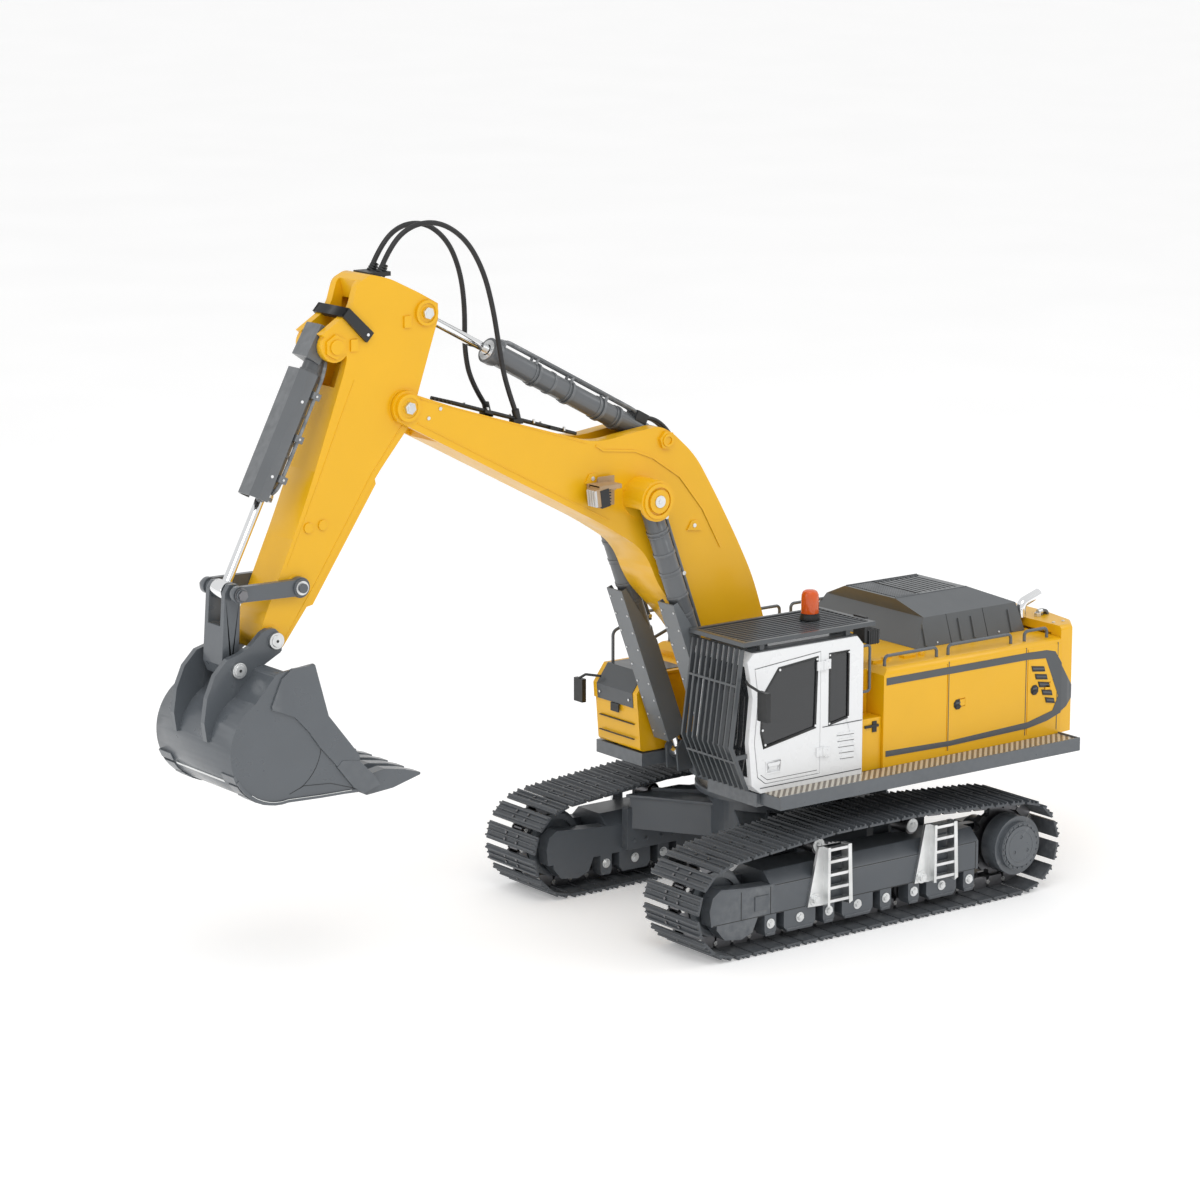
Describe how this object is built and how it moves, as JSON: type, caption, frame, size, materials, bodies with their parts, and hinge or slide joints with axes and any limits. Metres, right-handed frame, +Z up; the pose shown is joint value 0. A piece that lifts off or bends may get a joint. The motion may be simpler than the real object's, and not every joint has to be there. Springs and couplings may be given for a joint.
{
  "type": "radio controlled excavator",
  "caption": "Radio controlled crawler excavator model with slewing house, cab, boom, stick, bucket and hydraulic cylinders.",
  "frame": {"origin": "on the ground under the centre of the whole machine's bounding box", "axes": "+X towards the bucket, +Y to the machine's left, +Z up"},
  "size_m": [0.9062, 0.316, 0.6458],
  "materials": {
    "yellow": "gloss enamel",
    "dark_grey": "satin enamel",
    "mid_grey": "satin enamel",
    "white": "gloss enamel",
    "steel": "machined",
    "chrome": "polished",
    "glass": "smoked",
    "black_plastic": "moulded",
    "orange_plastic": "translucent",
    "blue_plastic": "shrink wrap",
    "rubber": "smooth",
    "aluminium": "turned",
    "tan": "satin"
  },
  "bodies": {
    "undercarriage": {"centre_frame": "dark_grey", "slew_gear": "steel", "left_track_frame": "dark_grey", "right_track_frame": "dark_grey", "left_track_shoes": "dark_grey", "right_track_shoes": "dark_grey", "left_track_chain": "dark_grey", "right_track_chain": "dark_grey", "track_rollers": "dark_grey", "travel_motors": "dark_grey", "side_steps": "steel"},
    "left_drive": {"left_sprocket": "steel", "left_final_drive": "dark_grey"},
    "right_drive": {"right_sprocket": "steel", "right_final_drive": "dark_grey"},
    "left_idler": {"left_idler": "dark_grey"},
    "right_idler": {"right_idler": "dark_grey"},
    "house": {"slew_deck": "dark_grey", "slew_motor": "aluminium", "counterweight": "yellow", "left_body_panel": "yellow", "right_body_panel": "yellow", "engine_hood": "dark_grey", "walkways": "mid_grey", "toolbox": "yellow", "handrails": "dark_grey", "exhaust_pipe": "steel", "cab_shell": "white", "cab_glass": "glass", "cab_seat": "black_plastic", "cab_front_guard": "mid_grey", "cab_roof_guard": "mid_grey", "cab_lamps": "orange_plastic", "mirrors": "black_plastic", "battery_pack": "blue_plastic", "hydraulic_pump": "aluminium", "valve_block": "aluminium", "receiver_box": "black_plastic"},
    "pinion": {"slew_pinion": "steel"},
    "door": {"cab_door": "white", "door_glass": "glass"},
    "boom": {"boom": "yellow", "boom_pipes": "black_plastic", "boom_lamp": "tan", "hoses": "rubber"},
    "left_boom_barrel": {"left_boom_barrel": "mid_grey"},
    "right_boom_barrel": {"right_boom_barrel": "mid_grey"},
    "left_boom_rod": {"left_boom_rod": "chrome", "left_boom_rod_guard": "mid_grey"},
    "right_boom_rod": {"right_boom_rod": "chrome", "right_boom_rod_guard": "mid_grey"},
    "stick": {"stick": "yellow"},
    "stick_barrel": {"stick_barrel": "mid_grey"},
    "stick_rod": {"stick_rod": "chrome"},
    "bucket_barrel": {"bucket_barrel": "mid_grey"},
    "bucket_rod": {"bucket_rod": "chrome"},
    "rocker_levers": {"rocker_levers": "mid_grey"},
    "bucket_link": {"bucket_link": "mid_grey"},
    "bucket": {"bucket": "mid_grey", "bucket_teeth": "mid_grey"}
  },
  "joints": [
    {"name": "slew", "type": "hinge", "parent": "undercarriage", "child": "house", "pos_m": [-0.1671, 0, 0.12], "axis": [0, 0, 1], "continuous": true},
    {"name": "pinion_spin", "type": "hinge", "parent": "house", "child": "pinion", "pos_m": [-0.2071, 0, 0.11], "axis": [0, 0, 1], "continuous": true},
    {"name": "left_track_drive", "type": "hinge", "parent": "undercarriage", "child": "left_drive", "pos_m": [-0.33657, 0.12, 0.0452], "axis": [0, 1, 0], "continuous": true},
    {"name": "left_idler_spin", "type": "hinge", "parent": "undercarriage", "child": "left_idler", "pos_m": [0.00237, 0.12, 0.0452], "axis": [0, 1, 0], "continuous": true},
    {"name": "right_track_drive", "type": "hinge", "parent": "undercarriage", "child": "right_drive", "pos_m": [-0.33657, -0.12, 0.0452], "axis": [0, 1, 0], "continuous": true},
    {"name": "right_idler_spin", "type": "hinge", "parent": "undercarriage", "child": "right_idler", "pos_m": [0.00237, -0.12, 0.0452], "axis": [0, 1, 0], "continuous": true},
    {"name": "cab_door_hinge", "type": "hinge", "parent": "house", "child": "door", "pos_m": [-0.1201, 0.1276, 0.2], "axis": [0, 0, 1], "range_deg": [0, 100]},
    {"name": "boom_lift", "type": "hinge", "parent": "house", "child": "boom", "pos_m": [-0.1421, 0, 0.165], "axis": [0, -1, 0], "range_deg": [-35, 20]},
    {"name": "left_boom_cylinder_swing", "type": "hinge", "parent": "boom", "child": "left_boom_barrel", "pos_m": [0.0079, 0.0375, 0.391], "axis": [0, -1, 0], "range_deg": [-1, 1]},
    {"name": "left_boom_cylinder_stroke", "type": "slide", "parent": "left_boom_barrel", "child": "left_boom_rod", "axis": [-0.3479, 0, -0.9375], "range_m": [-0.038, 0.022]},
    {"name": "right_boom_cylinder_swing", "type": "hinge", "parent": "boom", "child": "right_boom_barrel", "pos_m": [0.0079, -0.0375, 0.391], "axis": [0, -1, 0], "range_deg": [-1, 1]},
    {"name": "right_boom_cylinder_stroke", "type": "slide", "parent": "right_boom_barrel", "child": "right_boom_rod", "axis": [-0.3479, 0, -0.9375], "range_m": [-0.038, 0.022]},
    {"name": "stick_swing", "type": "hinge", "parent": "boom", "child": "stick", "pos_m": [0.2499, 0, 0.493], "axis": [0, -1, 0], "range_deg": [-35, 25], "deforming": ["hoses"]},
    {"name": "stick_cylinder_swing", "type": "hinge", "parent": "boom", "child": "stick_barrel", "pos_m": [-0.0221, 0, 0.438], "axis": [0, -1, 0], "range_deg": [-3, 2.5]},
    {"name": "stick_cylinder_stroke", "type": "slide", "parent": "stick_barrel", "child": "stick_rod", "axis": [0.8835, 0, 0.4684], "range_m": [-0.034, 0.047]},
    {"name": "bucket_curl", "type": "hinge", "parent": "stick", "child": "bucket", "pos_m": [0.3839, 0, 0.313], "axis": [0, -1, 0], "range_deg": [-35, 45]},
    {"name": "rocker_swing", "type": "hinge", "parent": "stick", "child": "rocker_levers", "pos_m": [0.3579, 0, 0.354], "axis": [0, -1, 0], "range_deg": [-22, 28]},
    {"name": "link_swing", "type": "hinge", "parent": "bucket", "child": "bucket_link", "pos_m": [0.4199, 0, 0.293], "axis": [0, -1, 0], "range_deg": [-31, 24.5]},
    {"name": "bucket_cylinder_swing", "type": "hinge", "parent": "stick", "child": "bucket_barrel", "pos_m": [0.3169, 0, 0.549], "axis": [0, -1, 0], "range_deg": [-2.5, 3]},
    {"name": "bucket_cylinder_stroke", "type": "slide", "parent": "bucket_barrel", "child": "bucket_rod", "axis": [0.4545, 0, -0.8907], "range_m": [-0.026, 0.02]}
  ],
  "couplings": [
    {"joint": "pinion_spin", "follows": "slew", "ratio": -5},
    {"joint": "left_idler_spin", "follows": "left_track_drive", "ratio": 1},
    {"joint": "right_idler_spin", "follows": "right_track_drive", "ratio": 1},
    {"joint": "left_boom_cylinder_swing", "follows": "boom_lift", "ratio": 0.02},
    {"joint": "left_boom_cylinder_stroke", "follows": "boom_lift", "m_per_rad": 0.061},
    {"joint": "right_boom_cylinder_swing", "follows": "boom_lift", "ratio": 0.02},
    {"joint": "right_boom_cylinder_stroke", "follows": "boom_lift", "m_per_rad": 0.061},
    {"joint": "stick_cylinder_swing", "follows": "stick_swing", "ratio": 0.075},
    {"joint": "stick_cylinder_stroke", "follows": "stick_swing", "m_per_rad": -0.0755},
    {"joint": "rocker_swing", "follows": "bucket_curl", "ratio": 0.6},
    {"joint": "link_swing", "follows": "bucket_curl", "ratio": -0.67},
    {"joint": "bucket_cylinder_swing", "follows": "bucket_curl", "ratio": 0.05},
    {"joint": "bucket_cylinder_stroke", "follows": "bucket_curl", "m_per_rad": -0.032}
  ]
}
